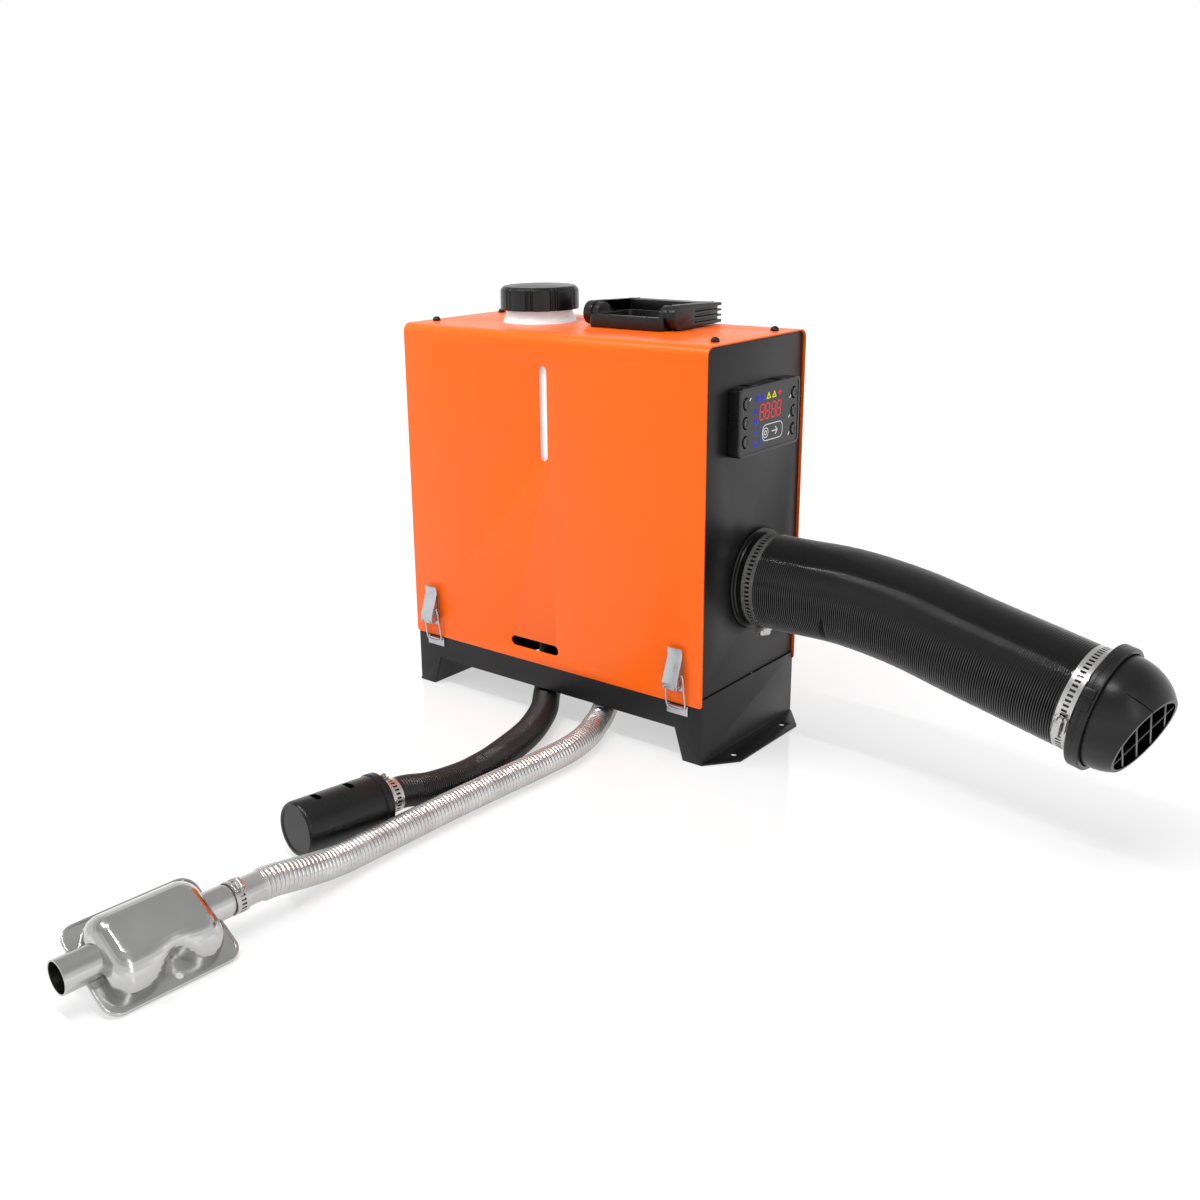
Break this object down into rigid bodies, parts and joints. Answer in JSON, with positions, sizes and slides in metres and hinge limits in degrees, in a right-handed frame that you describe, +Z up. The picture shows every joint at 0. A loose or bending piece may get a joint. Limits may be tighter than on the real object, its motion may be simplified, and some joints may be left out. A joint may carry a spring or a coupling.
{
  "type": "diesel air heater",
  "caption": "All-in-one diesel air heater: sheet metal housing with fuel tank, carry handle, hot air duct with vent, exhaust with silencer and filtered air intake hose.",
  "frame": {"origin": "on the floor under the middle of the housing", "axes": "+Z up, -Y out of the front, +X out of the hot air side"},
  "size_m": [0.7953, 0.7814, 0.438],
  "materials": {
    "orange_paint": "satin gloss powder coat",
    "black_sheet": "satin powder coat",
    "black_steel": "black oxide",
    "tank_plastic": "translucent polyethylene",
    "black_plastic": "satin moulded",
    "controller_plastic": "gloss face with lit display",
    "key_rubber": "soft key tops",
    "seal_rubber": "soft",
    "duct_black": "ribbed, slight gloss",
    "stainless": "bright stainless",
    "polished_stainless": "polished stainless",
    "zinc_steel": "zinc plated",
    "cast_aluminium": "as cast",
    "board_green": "solder mask",
    "fuel_hose": "nylon line"
  },
  "bodies": {
    "housing": {"shell": "orange_paint", "left_panel": "black_sheet", "right_panel": "black_sheet", "base_frame": "black_sheet", "chassis_pan": "black_sheet", "fuel_tank": "tank_plastic", "handle_base": "black_plastic", "controller_case": "controller_plastic", "outlet_collar": "black_plastic", "hot_air_duct": "duct_black", "duct_clamp_inner": "stainless", "duct_clamp_outer": "stainless", "vent_ring": "black_plastic", "exhaust_pipe": "stainless", "exhaust_clamp": "stainless", "muffler": "polished_stainless", "intake_hose": "duct_black", "intake_clamp": "stainless", "intake_filter": "black_plastic", "heater_casing": "black_plastic", "heater_bracket": "black_sheet", "heat_exchanger": "cast_aluminium", "blower_motor": "cast_aluminium", "glow_plug": "stainless", "control_board": "board_green", "fuel_pump": "cast_aluminium", "fuel_line_tank": "fuel_hose", "fuel_line_burner": "fuel_hose", "tank_shelf": "black_sheet", "top_screw_1": "black_steel", "latch_mount_1": "zinc_steel", "latch_catch_1": "zinc_steel", "top_screw_2": "black_steel", "latch_mount_2": "zinc_steel", "latch_catch_2": "zinc_steel", "top_screw_3": "black_steel", "latch_mount_3": "zinc_steel", "latch_catch_3": "zinc_steel", "top_screw_4": "black_steel", "latch_mount_4": "zinc_steel", "latch_catch_4": "zinc_steel"},
    "cap_seal": {"filler_gasket": "seal_rubber"},
    "cap": {"filler_cap": "black_plastic"},
    "handle": {"carry_handle": "black_plastic"},
    "vent_turn": {"vent_hood": "black_plastic"},
    "rotor": {"blower_rotor": "black_plastic"},
    "lever_1": {"latch_lever_1": "zinc_steel"},
    "bail_1": {"latch_bail_1": "zinc_steel"},
    "lever_2": {"latch_lever_2": "zinc_steel"},
    "bail_2": {"latch_bail_2": "zinc_steel"},
    "lever_3": {"latch_lever_3": "zinc_steel"},
    "bail_3": {"latch_bail_3": "zinc_steel"},
    "lever_4": {"latch_lever_4": "zinc_steel"},
    "bail_4": {"latch_bail_4": "zinc_steel"},
    "key_1": {"controller_key_1": "key_rubber"},
    "key_2": {"controller_key_2": "key_rubber"},
    "key_3": {"controller_key_3": "key_rubber"},
    "key_4": {"controller_key_4": "key_rubber"},
    "key_5": {"controller_key_5": "key_rubber"},
    "key_6": {"controller_key_6": "key_rubber"}
  },
  "joints": [
    {"name": "cap_lift", "type": "slide", "parent": "housing", "child": "cap_seal", "axis": [0, 0, 1], "range_m": [0, 0.0081]},
    {"name": "cap_turn", "type": "hinge", "parent": "cap_seal", "child": "cap", "pos_m": [-0.0795, 0.005, 0.42], "axis": [0, 0, 1], "range_deg": [0, 720]},
    {"name": "handle_fold", "type": "hinge", "parent": "housing", "child": "handle", "pos_m": [0.04525, 0.002, 0.4127], "axis": [1, 0, 0], "range_deg": [0, 90]},
    {"name": "lever_1_pull", "type": "hinge", "parent": "housing", "child": "lever_1", "pos_m": [-0.162, -0.096, 0.08], "axis": [1, 0, 0], "range_deg": [0, 115]},
    {"name": "bail_1_swing", "type": "hinge", "parent": "lever_1", "child": "bail_1", "pos_m": [-0.162, -0.094, 0.091], "axis": [1, 0, 0], "range_deg": [-115, 0]},
    {"name": "lever_2_pull", "type": "hinge", "parent": "housing", "child": "lever_2", "pos_m": [0.162, -0.096, 0.08], "axis": [1, 0, 0], "range_deg": [0, 115]},
    {"name": "bail_2_swing", "type": "hinge", "parent": "lever_2", "child": "bail_2", "pos_m": [0.162, -0.094, 0.091], "axis": [1, 0, 0], "range_deg": [-115, 0]},
    {"name": "lever_3_pull", "type": "hinge", "parent": "housing", "child": "lever_3", "pos_m": [-0.162, 0.096, 0.08], "axis": [-1, 0, 0], "range_deg": [0, 115]},
    {"name": "bail_3_swing", "type": "hinge", "parent": "lever_3", "child": "bail_3", "pos_m": [-0.162, 0.094, 0.091], "axis": [-1, 0, 0], "range_deg": [-115, 0]},
    {"name": "lever_4_pull", "type": "hinge", "parent": "housing", "child": "lever_4", "pos_m": [0.162, 0.096, 0.08], "axis": [-1, 0, 0], "range_deg": [0, 115]},
    {"name": "bail_4_swing", "type": "hinge", "parent": "lever_4", "child": "bail_4", "pos_m": [0.162, 0.094, 0.091], "axis": [-1, 0, 0], "range_deg": [-115, 0]},
    {"name": "key_1_press", "type": "slide", "parent": "housing", "child": "key_1", "axis": [-1, 0, 0], "range_m": [0, 0.0008], "stiffness_N_per_m": 400},
    {"name": "key_2_press", "type": "slide", "parent": "housing", "child": "key_2", "axis": [-1, 0, 0], "range_m": [0, 0.0008], "stiffness_N_per_m": 400},
    {"name": "key_3_press", "type": "slide", "parent": "housing", "child": "key_3", "axis": [-1, 0, 0], "range_m": [0, 0.0008], "stiffness_N_per_m": 400},
    {"name": "key_4_press", "type": "slide", "parent": "housing", "child": "key_4", "axis": [-1, 0, 0], "range_m": [0, 0.0008], "stiffness_N_per_m": 400},
    {"name": "key_5_press", "type": "slide", "parent": "housing", "child": "key_5", "axis": [-1, 0, 0], "range_m": [0, 0.0008], "stiffness_N_per_m": 400},
    {"name": "key_6_press", "type": "slide", "parent": "housing", "child": "key_6", "axis": [-1, 0, 0], "range_m": [0, 0.0008], "stiffness_N_per_m": 400},
    {"name": "vent_rotate", "type": "hinge", "parent": "housing", "child": "vent_turn", "pos_m": [0.524, -0.0104, 0.1244], "axis": [0.9775, -0.0889, -0.1911], "continuous": true},
    {"name": "blower_spin", "type": "hinge", "parent": "housing", "child": "rotor", "pos_m": [-0.125, 0.0123, 0.165], "axis": [1, 0, 0], "continuous": true}
  ],
  "couplings": [
    {"joint": "cap_lift", "follows": "cap_turn", "m_per_rad": 0.00063662},
    {"joint": "bail_1_swing", "follows": "lever_1_pull", "ratio": -1},
    {"joint": "bail_2_swing", "follows": "lever_2_pull", "ratio": -1},
    {"joint": "bail_3_swing", "follows": "lever_3_pull", "ratio": -1},
    {"joint": "bail_4_swing", "follows": "lever_4_pull", "ratio": -1}
  ]
}
